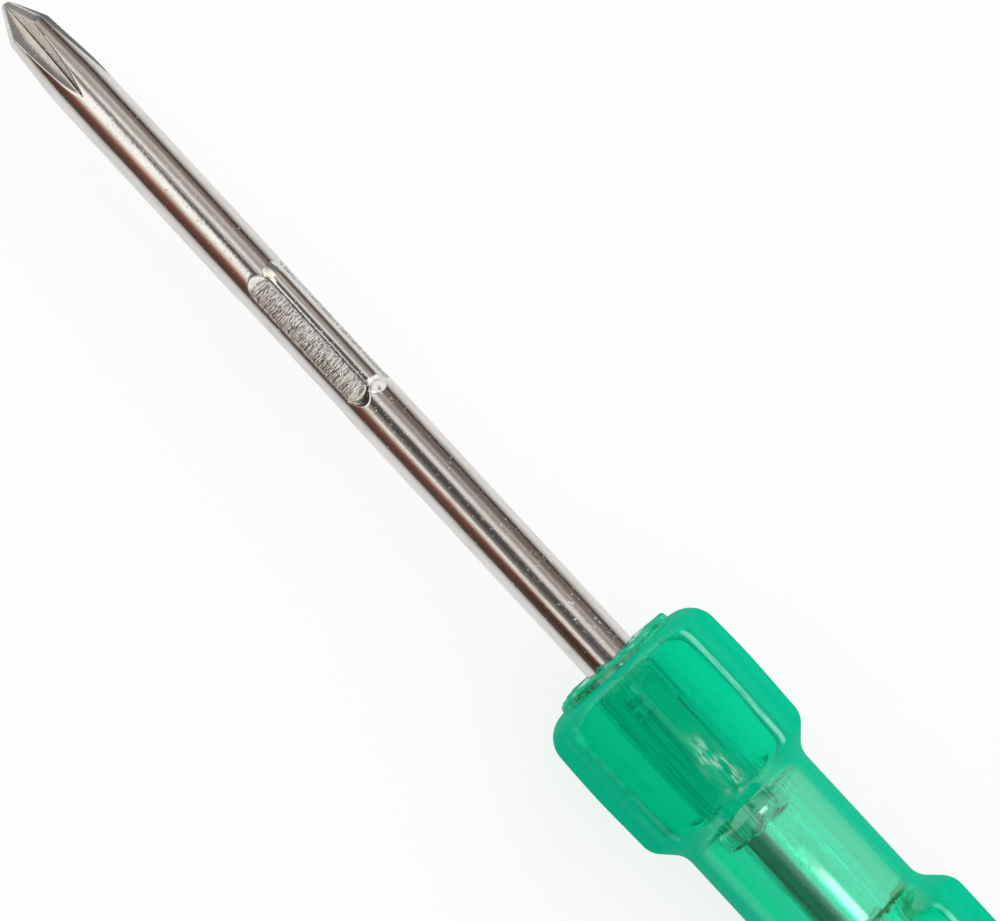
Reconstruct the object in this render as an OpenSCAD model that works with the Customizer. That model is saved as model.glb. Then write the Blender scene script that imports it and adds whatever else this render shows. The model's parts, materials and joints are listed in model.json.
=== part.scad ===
// Reversible screwdriver, lying on a table: a moulded clear handle and a double-ended blade.
// The tool lies along X with the cross-point tip towards -X. Z = 0 is the table, and the origin
// is under the middle of the whole tool. Lengths are in millimetres.
// Each piece is drawn upright first: its local Z runs along the tool, from the handle's front
// face (Z = 0) back into the handle, and its local X points down at the table once it is laid.

/* [Blade] */
// Length of the blade from tip to tip
blade_length = 150; // [130:1:180]
// Diameter of the round shank
shank_d = 6; // [5.5:0.1:7]
// Turn of the blade from the handle's lowest flute, in degrees
blade_turn = 123.5; // [0:0.5:180]

/* [Pressed ears] */
// Distance from each tip to the nearer end of its ears
ear_setback = 37.5; // [34:0.5:42]
// Length of the pressed ears
ear_length = 17.2; // [12:0.1:20]
// How far the ears stand out of the shank
ear_rise = 0.5; // [0.3:0.05:0.8]
// Rounding of an ear across its back
ear_r = 1.2; // [1:0.05:1.4]
// Depth of the pressed flats below the shank
flat_depth = 0.28; // [0.2:0.02:0.5]
// Width of a pressed flat
flat_width = 2.6; // [2.4:0.1:3]
// Length of the slope at each end of a pressed flat
flat_ramp = 1.2; // [0.8:0.1:2]
// How far the pressing draws the bar down at the middle of the ears, on the radius
press_draw = 0.03; // [0.01:0.01:0.1]
// How far outside the ears the bar starts to draw down
press_lead = 0.4; // [0.2:0.1:1]

/* [Cross tip] */
// Diameter of the blunt point
point_d = 0.9; // [0.6:0.1:1.4]
// Diameter at the shoulder behind the cone
cone_d = 5.2; // [4.6:0.1:5.4]
// Length of the cone
cone_length = 3.7; // [3:0.1:4.5]
// Distance from the point to where the taper reaches the full shank
tip_taper = 10.5; // [8:0.5:12]
// Distance from the point to where the flutes run out
tip_flute_length = 12.2; // [10.5:0.1:15]
// Distance from the axis to the root of a flute at the point
tip_flute_root = 0.55; // [0.45:0.05:0.7]
// Angle between the two walls of a flute, in degrees
tip_flute_angle = 92; // [88:1:100]
// Radius of the wheel that grinds the flutes
grinding_wheel_r = 63; // [40:1:90]

/* [Slotted tip] */
// Thickness of the slotted edge
slot_thickness = 1; // [0.8:0.1:1.4]
// Length of the even stretch behind the slotted edge
slot_land = 3; // [1:0.5:5]
// Distance from the slotted edge to where its flats leave the shank
slot_taper = 28.5; // [20:0.5:32]

/* [Handle] */
// Length of the handle
handle_length = 98; // [85:1:120]
// Diameter over the crests of the grip
grip_d = 21.2; // [20:0.1:24]
// Diameter of the waist
waist_d = 15.8; // [14:0.1:17]
// Distance from the front face to the rear corner of the head
head_length = 17; // [14:0.5:22]
// How much the head swells from its corners to its middle, on the radius
head_crown = 0.25; // [0.1:0.05:0.4]
// Distance along the tool over which each shoulder of the waist rises
shoulder_length = 2.6; // [2:0.1:4]
// Length of the waist between its shoulders
waist_length = 17.3; // [12:0.1:24]
// Diameter of the low boss round the mouth
boss_d = 14.4; // [12:0.1:15.5]
// Height of that boss
boss_height = 0.9; // [0.5:0.1:1.4]
// Number of flutes round the handle
flute_count = 8; // [6:1:10]
// Depth of the flutes at their middle
flute_depth = 0.9; // [0.6:0.05:1.1]
// Hollow radius of the flutes
flute_r = 11; // [8:0.5:16]

/* [Rounding] */
// Front corner of the head
nose_round = 3.1; // [1.5:0.1:3.4]
// Middle of the swelling head
crown_round = 80; // [60:1:90]
// Crest at each shoulder of the waist
shoulder_round = 2.4; // [0.5:0.1:3]
// Foot of each shoulder of the waist
foot_round = 2.6; // [0.5:0.1:3.4]
// Rear end of the handle
end_round = 8; // [4:0.5:9]
// Edge of the boss
boss_round = 0.3; // [0.1:0.05:0.4]

/* [Socket] */
// Depth from the front face to the stop of the keyways
key_depth = 22.5; // [20:0.5:28]
// Gap all round between the blade and the socket
fit_gap = 0.08; // [0.04:0.01:0.1]
// Free depth behind the blade's inner tip
socket_spare = 1; // [0.5:0.5:4]
// Bevel round the mouth
mouth_bevel = 0.4; // [0.2:0.1:0.6]

/* [Hidden] */
$fn = 96;

// Degrees in one step of a rounded corner
ARC_STEP = 6;
// Length by which a cutter runs past what it cuts
OVERRUN = 1;
// Pressed flats in one round, and keyways, so that the blade goes in at each quarter turn
FLATS = 4;
// Ears in one round, each between two flats
EARS = 2;

shank_r = shank_d / 2;
grip_r = grip_d / 2;
waist_r = waist_d / 2;
boss_r = boss_d / 2;

ear_centre = shank_r + ear_rise - ear_r;
ear_starts = [ear_setback, blade_length - ear_setback - ear_length];
// The blade seats with the far end of its inner ears at the stop of the keyways
inner_reach = key_depth + ear_setback;
exposed_length = blade_length - inner_reach;

// The handle's flutes are round hollows whose centres lie outside the grip
flute_centre = grip_r - flute_depth + flute_r;
// Laid down, the grip rests on the edges of the two crests beside its lowest flute
rest_height = (grip_r * grip_r + flute_centre * flute_centre - flute_r * flute_r) / (2 * flute_centre);
middle = (handle_length - exposed_length) / 2;

// The wheel passes through a flute's root at the point and through its run-out on the shank
chord = [tip_flute_length, shank_r - tip_flute_root];
wheel_lift = sqrt(grinding_wheel_r * grinding_wheel_r - norm(chord) * norm(chord) / 4);
wheel_centre = [
    chord[0] / 2 - wheel_lift * chord[1] / norm(chord),
    tip_flute_root + chord[1] / 2 + wheel_lift * chord[0] / norm(chord)
];

// Share of an edge that one corner may round away, given the corner at the edge's other end
function share(other) = other[2] == 0 ? 0.98 : 0.48;

// Points of one corner of an outline, rounded where its two edges leave room
function corner(last, here, next) =
    let (at = [here[0], here[1]])
    let (a = [last[0], last[1]] - at, b = [next[0], next[1]] - at)
    let (turn = 180 - acos(a * b / (norm(a) * norm(b))))
    let (room = min(share(last) * norm(a), share(next) * norm(b)))
    let (cut = min(here[2] * tan(turn / 2), room))
    let (radius = cut / tan(turn / 2), side = sign(a[0] * b[1] - a[1] * b[0]))
    let (start = at + a * cut / norm(a), out = side * [a[1], -a[0]] / norm(a))
    let (centre = start - radius * out, steps = max(4, ceil(turn / ARC_STEP)))
    [for (i = [0 : steps])
        let (angle = -side * turn * i / steps)
        centre + radius * [
            out[0] * cos(angle) - out[1] * sin(angle),
            out[0] * sin(angle) + out[1] * cos(angle)
        ]];

// An outline given as [x, y, rounding]: a corner with no rounding stays sharp
function rounded(outline) = [
    for (i = [0 : len(outline) - 1])
        let (here = outline[i])
        let (last = outline[(i + len(outline) - 1) % len(outline)])
        let (next = outline[(i + 1) % len(outline)])
        each here[2] == 0 ? [[here[0], here[1]]] : corner(last, here, next)
];

// Lays an upright piece along the table
module laid() {
    translate([-middle, 0, rest_height]) rotate([0, 90, 0]) children();
}

// Repeats a shape round the axis
module around(count) {
    for (i = [0 : count - 1]) rotate(360 * i / count) children();
}

// The body of the handle as turned, before its flutes: head, waist and grip
module handle_blank() {
    head_corner_r = grip_r - head_crown;
    head_middle = (boss_height + head_length) / 2;
    waist_start = head_length + shoulder_length;
    waist_end = waist_start + waist_length;
    rotate_extrude()
        polygon(rounded([
            [0, 0, 0],
            [boss_r, 0, boss_round],
            [boss_r, boss_height, 0],
            [head_corner_r, boss_height, nose_round],
            [grip_r, head_middle, crown_round],
            [head_corner_r, head_length, shoulder_round],
            [waist_r, waist_start, foot_round],
            [waist_r, waist_end, foot_round],
            [grip_r, waist_end + shoulder_length, shoulder_round],
            [grip_r, handle_length, end_round],
            [0, handle_length, 0]
        ]));
}

// One long hollow in the side of the handle
module handle_flute() {
    translate([flute_centre, 0, -OVERRUN]) cylinder(r = flute_r, h = handle_length + 2 * OVERRUN, $fn = 192);
}

// One keyway, the ear's own form with the fit's gap, open at the front face
module keyway() {
    translate([ear_centre, 0, -OVERRUN]) cylinder(r = ear_r + fit_gap, h = key_depth - ear_r + OVERRUN);
    translate([ear_centre, 0, key_depth - ear_r]) sphere(r = ear_r + fit_gap);
}

// What the blade slides in: a round bore with four keyways and a bevelled mouth
module socket() {
    bore_r = shank_r + fit_gap;
    translate([0, 0, -OVERRUN]) cylinder(r = bore_r, h = inner_reach + socket_spare + OVERRUN);
    translate([0, 0, -OVERRUN])
        cylinder(r1 = bore_r + mouth_bevel + OVERRUN, r2 = bore_r, h = mouth_bevel + OVERRUN);
    rotate(blade_turn + 180 / FLATS) around(FLATS) keyway();
}

module handle() {
    color("mediumseagreen") laid() difference() {
        handle_blank();
        around(flute_count) handle_flute();
        socket();
    }
}

// The round shank with its cone and taper at the cross-point end, drawn down where it is pressed
module shank() {
    drawn_r = shank_r - press_draw;
    rotate_extrude()
        polygon([
            [0, 0],
            [point_d / 2, 0],
            [cone_d / 2, cone_length],
            [shank_r, tip_taper],
            for (start = ear_starts) each [
                [shank_r, start - press_lead],
                [drawn_r, start + ear_length / 2],
                [shank_r, start + ear_length + press_lead]
            ],
            [shank_r, blade_length],
            [0, blade_length]
        ]);
}

// Disc of the grinding wheel, with its V-shaped rim, set to cut one flute of the cross tip
module tip_flute() {
    rim = shank_d;
    translate([wheel_centre[1], 0, wheel_centre[0]]) rotate([90, 0, 0])
        rotate_extrude($fn = 256)
            polygon([
                [grinding_wheel_r, 0],
                [grinding_wheel_r - rim, rim * tan(tip_flute_angle / 2)],
                [grinding_wheel_r - rim, -rim * tan(tip_flute_angle / 2)]
            ]);
}

// One ear, a rounded ridge that starts at local Z = 0
module ear() {
    translate([ear_centre, 0, ear_r]) cylinder(r = ear_r, h = ear_length - 2 * ear_r);
    for (end = [ear_r, ear_length - ear_r]) translate([ear_centre, 0, end]) sphere(r = ear_r);
}

// The press tool that sinks one flat, sloped at both ends
module flat_press() {
    floor_r = shank_r - flat_depth;
    top = ear_rise + OVERRUN;
    run = flat_ramp * top / flat_depth;
    rotate([90, 0, 0]) translate([0, 0, -flat_width / 2]) linear_extrude(flat_width)
        polygon([
            [floor_r, flat_ramp],
            [shank_r + top, -run],
            [shank_r + top, ear_length + run],
            [floor_r, ear_length - flat_ramp]
        ]);
}

// The two tapered faces that form the slotted tip, cut from both sides
module slot_faces() {
    for (side = [0, 180]) rotate(side)
        translate([0, shank_d, 0]) rotate([90, 0, 0]) linear_extrude(2 * shank_d)
            polygon([
                [shank_r, blade_length - slot_taper],
                [slot_thickness / 2, blade_length - slot_land],
                [slot_thickness / 2, blade_length + OVERRUN],
                [shank_d, blade_length + OVERRUN],
                [shank_d, blade_length - slot_taper]
            ]);
}

// The blade, upright from its cross point, with a pressed section near each end
module blade_upright() {
    difference() {
        union() {
            shank();
            for (start = ear_starts) translate([0, 0, start]) rotate(180 / FLATS) around(EARS) ear();
        }
        for (start = ear_starts) translate([0, 0, start]) around(FLATS) flat_press();
        around(FLATS) tip_flute();
        slot_faces();
    }
}

module blade() {
    color("silver") laid() translate([0, 0, -exposed_length]) rotate(blade_turn) blade_upright();
}

handle();
blade();
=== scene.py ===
"""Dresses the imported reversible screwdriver: a ground and pressed steel blade in a clear green handle."""

import json
import math

import bpy
import numpy as np
from mathutils import Matrix, Vector, noise


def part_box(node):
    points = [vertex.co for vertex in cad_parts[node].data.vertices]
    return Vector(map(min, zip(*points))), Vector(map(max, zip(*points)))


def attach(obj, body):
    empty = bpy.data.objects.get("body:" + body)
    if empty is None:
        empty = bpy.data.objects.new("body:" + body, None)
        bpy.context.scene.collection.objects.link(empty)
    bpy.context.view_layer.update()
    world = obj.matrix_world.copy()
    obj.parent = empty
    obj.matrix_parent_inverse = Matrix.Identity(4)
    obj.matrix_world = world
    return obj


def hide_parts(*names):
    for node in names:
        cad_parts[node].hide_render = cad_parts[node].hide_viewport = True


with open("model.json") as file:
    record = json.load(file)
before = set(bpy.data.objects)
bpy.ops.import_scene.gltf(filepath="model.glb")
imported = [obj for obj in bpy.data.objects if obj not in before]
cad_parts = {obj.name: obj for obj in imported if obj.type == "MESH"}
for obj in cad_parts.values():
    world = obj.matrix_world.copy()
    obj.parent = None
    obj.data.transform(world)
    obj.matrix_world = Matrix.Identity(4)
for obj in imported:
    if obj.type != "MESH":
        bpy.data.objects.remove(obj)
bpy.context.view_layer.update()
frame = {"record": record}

bl_info = {
    "name": "Reversible screwdriver",
    "version": (1, 0, 0),
    "blender": (4, 5, 0),
    "location": "3D View > Sidebar > Screwdriver",
    "description": "Blade, press marks, handle and stage of a reversible screwdriver",
    "category": "Object",
}

SHANK = next(mount for mount in frame["record"]["mounts"] if mount["name"] == "shank")
SHANK_RADIUS = SHANK["dims"]["r_mm"] / 1000
AXIS_HEIGHT = SHANK["pos_m"][2]
POINT_X, SLOT_X = (corner.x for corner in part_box("blade"))
FACE_X, END_X = (corner.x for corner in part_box("handle"))

# Angles round the tool are counted from straight down, towards +Y.
FULL_TURN = 2 * math.pi
QUARTER = math.pi / 2
SHARP_EDGE = math.radians(40)

# Small roundings and reaches of the blade's worked forms, in metres.
SHOULDER_ROUND = 0.00016
TAPER_ROUND = 0.00006
BLUNT_LENGTH = 0.00022
EAR_SINK = 0.00005
FLAT_REACH = 0.0014
FLAT_WALL = 0.00006
FLAT_ROUND = 0.00005
FLUTE_ROUND = 0.00013
SLOT_ROUND = 0.00008

# The rows of press marks, as shares of a flat's width, and the bare stretch at each end in metres.
ROW_GAP = 0.4
RIDGE_REACH = 0.23
MARK_MARGIN = 0.0008

# A scraped patch on the head, partly a painted highlight: its middle from the front face and from the axis,
# and its half sizes.
SCRAPE_HIGHLIGHT_ALONG = 0.0148
SCRAPE_HIGHLIGHT_ASIDE = -0.0033
SCRAPE_HIGHLIGHT_SIZE = (0.0065, 0.002, 0.002)

# Linear colours of the marks on the steel, painted shade and a painted brown reflection among them.
CLOUDED_STEEL = (0.68, 0.65, 0.61)
PIT = (0.3, 0.28, 0.27)
WORN_SPECK = (0.95, 0.95, 0.94)
# Dark flecks on the pressed flats: partly grime, partly painted shade between the press marks.
GRIME_AND_SHADE = (0.05, 0.045, 0.04)
# Painted shade, in flecks, on the flats towards +Y in the pressed sections.
FAR_FLAT_PAINTED_SHADE = (0.22, 0.2, 0.18)
# Painted reflection of brown surroundings on the pressed flats beyond 2 mm towards -Y.
PAINTED_BROWN_REFLECTION = (0.4, 0.34, 0.29)

# What polished steel sees round the tool: linear colours by bearing, in degrees from straight up to +Y.
# The room is at its brightest ROOM_PEAK times as bright as a white colour.
ROOM_PEAK = 1.3
FAR_STRIPS = (
    (-102, (0.9, 0.9, 0.89)), (-95, (0.11, 0.06, 0.04)), (-87, (0.145, 0.056, 0.04)),
    (-78, (0.2, 0.075, 0.055)), (-70, (0.3, 0.155, 0.12)))
NEAR_STRIPS = (
    (52, (0.22, 0.17, 0.15)), (58, (0.1, 0.08, 0.07)), (61, (0.035, 0.03, 0.028)),
    (64, (0.06, 0.05, 0.05)), (72, (0.42, 0.4, 0.38)), (84, (0.78, 0.76, 0.72)), (98, (0.95, 0.95, 0.93)))
OPEN_STRIPS = FAR_STRIPS + (
    (-61, (0.74, 0.58, 0.48)), (-53, (1.1, 1.05, 0.96)), (-46, (1.25, 1.25, 1.2)),
    (-26, (1.27, 1.27, 1.25)), (-20, (1.0, 1.0, 0.98)), (-13, (0.22, 0.22, 0.21)),
    (-8, (0.24, 0.24, 0.23)), (0, (1.1, 1.08, 1.05)), (8, (0.68, 0.65, 0.63)),
    (16, (0.42, 0.39, 0.37)), (24, (0.57, 0.52, 0.49)), (33, (0.68, 0.62, 0.58)),
    (38, (0.4, 0.35, 0.32)), (42, (0.28, 0.24, 0.21))) + NEAR_STRIPS
SHADED_STRIPS = FAR_STRIPS + (
    (-60, (0.86, 0.74, 0.64)), (-53, (1.08, 1.03, 0.95)), (-46, (0.3, 0.29, 0.28)),
    (-38, (0.14, 0.14, 0.13)), (-30, (0.06, 0.06, 0.06)), (-15, (0.11, 0.11, 0.11)),
    (-8, (0.72, 0.69, 0.66)), (0, (0.96, 0.93, 0.9)), (8, (0.62, 0.58, 0.55)),
    (16, (0.34, 0.31, 0.29)), (24, (0.52, 0.47, 0.44)), (32, (0.26, 0.22, 0.2)),
    (42, (0.17, 0.14, 0.13))) + NEAR_STRIPS


def length(label, note, default):
    """A size in metres that a user may change."""
    return bpy.props.FloatProperty(
        name=label, description=note, default=default, unit="LENGTH", precision=5)


def angle(label, note, degrees):
    """An angle that a user may change."""
    return bpy.props.FloatProperty(
        name=label, description=note, default=math.radians(degrees), subtype="ANGLE")


def whole(label, note, default, low, high):
    """A whole number that a user may change."""
    return bpy.props.IntProperty(name=label, description=note, default=default, min=low, max=high)


def colour(label, note, default):
    """A linear colour that a user may change."""
    return bpy.props.FloatVectorProperty(
        name=label, description=note, default=default, size=3, min=0, max=1, subtype="COLOR")


class BladeSettings(bpy.types.PropertyGroup):
    """Sizes and finish of the double-ended blade."""

    shank_radius: length("Shank radius", "Radius of the round bar", SHANK_RADIUS)
    turn: angle("Turn", "Turn of the blade from straight down", 123.5)
    ear_setback: length("Ear setback", "From each tip to the nearer end of its ears", 0.0375)
    ear_length: length("Ear length", "Length of the pressed ears", 0.0172)
    ear_rise: length("Ear rise", "How far the ears stand out of the bar", 0.0005)
    ear_radius: length("Ear radius", "Rounding of an ear across its back", 0.00145)
    ear_nose: length("Ear nose", "Length over which each end of an ear rises", 0.002)
    ear_foot: length("Ear foot", "Rounding between an ear and the bar", 0.0004)
    flat_depth: length("Flat depth", "Depth of the pressed flats below the bar", 0.00028)
    flat_width: length("Flat width", "Width of a pressed flat", 0.0026)
    flat_ramp: length("Flat ramp", "Length of the slope at each end of a flat", 0.0009)
    flat_end: length("Flat end", "Radius of a flat's rounded end", 0.0016)
    flat_crown: length("Flat crown", "Radius of a flat's slight swell across the blade", 0.009)
    point_radius: length("Point radius", "Radius of the blunt point", 0.00045)
    cone_radius: length("Cone radius", "Radius at the shoulder behind the cone", 0.0026)
    cone_length: length("Cone length", "Length of the cone", 0.0037)
    taper_length: length("Taper length", "From the point to the full bar", 0.0105)
    flute_length: length("Flute length", "From the point to where the flutes run out", 0.0127)
    flute_root: length("Flute root", "From the axis to a flute's root at the point", 0.00055)
    flute_angle: angle("Flute angle", "Angle between the two walls of a flute", 92)
    wheel_radius: length("Wheel radius", "Radius of the wheel that grinds the flutes", 0.063)
    slot_thickness: length("Slot thickness", "Thickness of the slotted edge", 0.001)
    slot_land: length("Slot land", "Even stretch behind the slotted edge", 0.003)
    slot_taper: length("Slot taper", "From the slotted edge to where its flats leave the bar", 0.0285)
    steel: colour("Steel", "Colour of the bright plating", (0.76, 0.74, 0.72))


class MarkSettings(bpy.types.PropertyGroup):
    """The ridges that the press leaves across the flats."""

    count: whole("Marks", "Ridges along one flat", 124, 4, 160)
    width: length("Mark width", "Width of one ridge along the blade", 0.00023)
    height: length("Mark height", "Height of one ridge above the flat", 0.00006)
    seed: whole("Seed", "Seed of the unevenness", 4, 0, 9999)


class HandleSettings(bpy.types.PropertyGroup):
    """Sizes and finish of the moulded handle."""

    grip_radius: length("Grip radius", "Radius over the crests of the grip", 0.0106)
    waist_radius: length("Waist radius", "Radius of the waist", 0.0079)
    head_length: length("Head length", "From the front face to the rear corner of the head", 0.017)
    head_crown: length("Head crown", "Swelling of the head from its corners to its middle", 0.00025)
    shoulder_length: length("Shoulder length", "Length over which each shoulder rises", 0.0026)
    waist_length: length("Waist length", "Length between the two shoulders", 0.0173)
    boss_radius: length("Boss radius", "Radius of the low boss round the mouth", 0.0072)
    boss_height: length("Boss height", "Height of that boss", 0.0009)
    boss_wear: length("Boss wear", "Unevenness of the torn edge of the boss", 0.00022)
    flutes: whole("Flutes", "Flutes round the handle", 8, 3, 16)
    flute_depth: length("Flute depth", "Depth of the flutes at their middle", 0.0009)
    flute_radius: length("Flute radius", "Hollow radius of the flutes", 0.011)
    crest_round: length("Crest rounding", "Rounding between a crest and a flute", 0.0004)
    nose_round: length("Nose rounding", "Front corner of the head", 0.0031)
    shoulder_round: length("Shoulder rounding", "Crest at each shoulder", 0.0024)
    foot_round: length("Foot rounding", "Foot of each shoulder", 0.0026)
    end_round: length("End rounding", "Rear end of the handle", 0.008)
    key_depth: length("Key depth", "From the front face to the stop of the keyways", 0.0225)
    key_end: length("Key end", "Length of the rounded end of a keyway", 0.0005)
    fit_gap: length("Fit gap", "Gap between the blade and the socket", 0.00008)
    socket_depth: length("Socket depth", "From the front face to the bottom of the bore", 0.061)
    mouth_bevel: length("Mouth bevel", "Bevel round the mouth", 0.0004)
    body_colour: colour("Body colour", "Colour of the plastic itself", (0.0, 0.8, 0.46))
    haze_colour: colour("Haze colour", "Colour of the veil over the plastic", (0.0, 0.58, 0.32))
    # Painted shade: the fluted plastic is darker on its -Y side.
    painted_shade_colour: colour("Painted shade colour", "Painted shade of the fluted plastic towards -Y", (0.0, 0.5, 0.25))
    # The crests carry a painted highlight as well as wear, strongest towards +Y.
    rubbed_and_highlit_colour: colour("Rubbed and highlit colour", "Colour of the rubbed crests, with their painted highlight", (0.28, 0.98, 0.74))
    # Scuffs in the socket near the keyway stops, painted whitish so that they also stand in for glints.
    scuff_and_glint_colour: colour("Scuff and glint colour", "Colour of the socket where the ears scuff it, painted whitish as a glint too", (0.7, 1.0, 0.95))
    # A scraped patch on the head that is partly a painted highlight.
    scrape_highlight_colour: colour("Scrape highlight colour", "Colour of a scraped patch on the head, partly a painted highlight", (0.5, 0.8, 0.65))
    veil: bpy.props.FloatProperty(
        name="Veil", description="Share of the light that the fluted skin scatters",
        default=0.26, min=0, max=1)
    acetate: colour("Acetate", "What a thickness of the plastic lets through", (0.0, 0.988, 0.965))
    acetate_density: bpy.props.FloatProperty(
        name="Acetate density", description="How strongly the plastic is tinted", default=500, min=0)


class StageSettings(bpy.types.PropertyGroup):
    """Camera, table and room."""

    roll: angle("Roll", "Slope of the tool in the picture", 47.225)
    lean: angle("Lean", "Lean of the camera from straight above, to the side", 22.5)
    tilt: angle("Tilt", "Lean of the camera towards the point", -0.6)
    look_along: length("Look along", "From the point to the middle of the picture, along the tool", 0.06781)
    look_aside: length("Look aside", "From the axis to the middle of the picture", 0.0054)
    frame_width: length("Frame width", "Width that the picture takes in", 0.1007)
    distance: length("Distance", "From the camera to the tool", 0.35)
    table: colour("Table", "Colour of the table", (1.0, 1.0, 1.0))


class Wire:
    """An output socket whose arithmetic adds Math nodes to its tree."""

    def __init__(self, graph, socket):
        self.graph = graph
        self.socket = socket

    def math(self, operation, *others):
        """A Math node with this value first."""
        values = dict(enumerate((self, *others)))
        return self.graph.add("ShaderNodeMath", {"operation": operation}, values)

    def __add__(self, other):
        return self.math("ADD", other)

    def __sub__(self, other):
        return self.math("SUBTRACT", other)

    def __rsub__(self, other):
        return self.graph.add("ShaderNodeMath", {"operation": "SUBTRACT"}, {0: other, 1: self})

    def __mul__(self, other):
        return self.math("MULTIPLY", other)

    def __truediv__(self, other):
        return self.math("DIVIDE", other)

    def __rtruediv__(self, other):
        return self.graph.add("ShaderNodeMath", {"operation": "DIVIDE"}, {0: other, 1: self})

    __radd__ = __add__
    __rmul__ = __mul__

    def fade(self, low, high):
        """This value as 0 at low and 1 at high, eased at both ends."""
        return self.graph.add(
            "ShaderNodeMapRange", {"interpolation_type": "SMOOTHSTEP"},
            {"Value": self, "From Min": low, "From Max": high}, "Result")


class Graph:
    """A node tree of a material, a world or a geometry modifier."""

    def __init__(self, tree):
        self.tree = tree
        tree.nodes.clear()

    @staticmethod
    def pick(sockets, key):
        """The socket of that number, identifier or name."""
        if isinstance(key, int):
            return sockets[key]
        for socket in sockets:
            if socket.identifier == key:
                return socket
        return next(socket for socket in sockets if socket.name == key and socket.enabled)

    def add(self, kind, settings=None, sockets=None, out=0):
        """Adds a node with its settings and the values or wires of its sockets, and returns one output."""
        node = self.tree.nodes.new(kind)
        for name, value in (settings or {}).items():
            if name == "stops":
                self.set_stops(node.color_ramp, value)
            else:
                setattr(node, name, value)
        for key, value in (sockets or {}).items():
            socket = self.pick(node.inputs, key)
            if isinstance(value, Wire):
                self.tree.links.new(value.socket, socket)
            else:
                socket.default_value = value
        return Wire(self, self.pick(node.outputs, out)) if len(node.outputs) else node

    @staticmethod
    def set_stops(color_ramp, stops):
        """Gives a colour ramp its stops, from left to right."""
        while len(color_ramp.elements) > 1:
            color_ramp.elements.remove(color_ramp.elements[-1])
        for number, (place, shade) in enumerate(stops):
            element = color_ramp.elements[0] if number == 0 else color_ramp.elements.new(place)
            element.position = place
            element.color = (*shade, 1)

    def spread(self, scale, **sockets):
        """Noise over Object coordinates, with its own scale along each axis."""
        stretched = self.add("ShaderNodeMapping", None, {"Vector": self.place(), "Scale": scale})
        values = {"Vector": stretched, "Scale": 1.0, "Detail": 3.0, "Roughness": 0.55, **sockets}
        return self.add("ShaderNodeTexNoise", None, values, "Fac")

    def carried(self, name):
        """A number that the mesh carries under that name."""
        return self.add("ShaderNodeAttribute", {"attribute_name": name}, out="Fac")

    def place(self):
        """The place of the point that is shaded, in Object coordinates."""
        return self.add("ShaderNodeTexCoord", out="Object")

    def parts(self, vector):
        """The X, Y and Z of a vector."""
        node = self.add("ShaderNodeSeparateXYZ", None, {"Vector": vector}).socket.node
        return [Wire(self, socket) for socket in node.outputs]

    def across(self):
        """The place across the tool, in metres towards +Y."""
        return self.parts(self.place())[1]

    def ray(self, kind):
        """What is known of the ray that looks."""
        return self.add("ShaderNodeLightPath", out=kind)

    def mix(self, factor, first, second):
        """A colour between two colours, each a wire or three numbers."""
        first, second = (shade if isinstance(shade, Wire) else (*shade, 1) for shade in (first, second))
        return self.add(
            "ShaderNodeMix", {"data_type": "RGBA"},
            {"Factor_Float": factor, "A_Color": first, "B_Color": second}, "Result_Color")


def new_material(name):
    """An empty node material and its graph."""
    material = bpy.data.materials.new(name)
    material.use_nodes = True
    return material, Graph(material.node_tree)


def smooth_min(first, second, width):
    """The smaller of two distances, with their meeting rounded over width."""
    share = np.clip(0.5 + 0.5 * (second - first) / width, 0, 1)
    return second + (first - second) * share - width * share * (1 - share)


def smooth_max(first, second, width):
    """The larger of two distances, with their meeting rounded over width."""
    return -smooth_min(-first, -second, width)


def ease(low, high, value):
    """0 at low and 1 at high, eased at both ends."""
    share = np.clip((value - low) / (high - low), 0, 1)
    return share * share * (3 - 2 * share)


def stations(*stretches):
    """Places along a line, from stretches given as start, end and step."""
    places = [stretches[0][0]]
    for start, end, step in stretches:
        count = max(1, math.ceil(abs(end - start) / step - 1e-6))
        places.extend(start + (end - start) * i / count for i in range(1, count + 1))
    return np.array(places)


def round_points(along, radius, angles):
    """Points round the tool's axis, from their place along X, their radius and their angle."""
    along = np.broadcast_to(along, radius.shape)
    return np.stack([along, radius * np.sin(angles), AXIS_HEIGHT - radius * np.cos(angles)], axis=-1)


def closed_skin(name, rings, first_pole, last_pole):
    """A closed mesh over rings of points, with a pole at each end. Rings of its outer side run to +X."""
    count, sides = rings.shape[:2]
    points = np.concatenate([rings.reshape(-1, 3), [first_pole, last_pole]])
    here = np.arange(sides)
    after = (here + 1) % sides
    starts = np.arange(count - 1)[:, None] * sides
    nexts = starts + sides
    quads = np.stack([starts + after, nexts + after, nexts + here, starts + here], axis=-1)
    last = (count - 1) * sides
    front = np.stack([after, here, np.full(sides, count * sides)], axis=-1)
    back = np.stack([last + here, last + after, np.full(sides, count * sides + 1)], axis=-1)
    faces = quads.reshape(-1, 4).tolist() + front.tolist() + back.tolist()
    mesh = bpy.data.meshes.new(name)
    mesh.from_pydata(points.tolist(), [], faces)
    mesh.validate()
    mesh.shade_smooth()
    return mesh


def carry(mesh, name, values):
    """Gives each point of a mesh a number under that name."""
    layer = mesh.attributes.new(name, "FLOAT", "POINT")
    layer.data.foreach_set("value", np.asarray(values, dtype=np.float32))


def new_object(name, data):
    """An object with that data, linked to the scene."""
    item = bpy.data.objects.new(name, data)
    bpy.context.scene.collection.objects.link(item)
    return item


def place_piece(mesh, node):
    """Links a finished mesh as a piece that moves with a node of the frame."""
    piece = new_object(mesh.name, mesh)
    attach(piece, node)
    return piece


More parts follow.
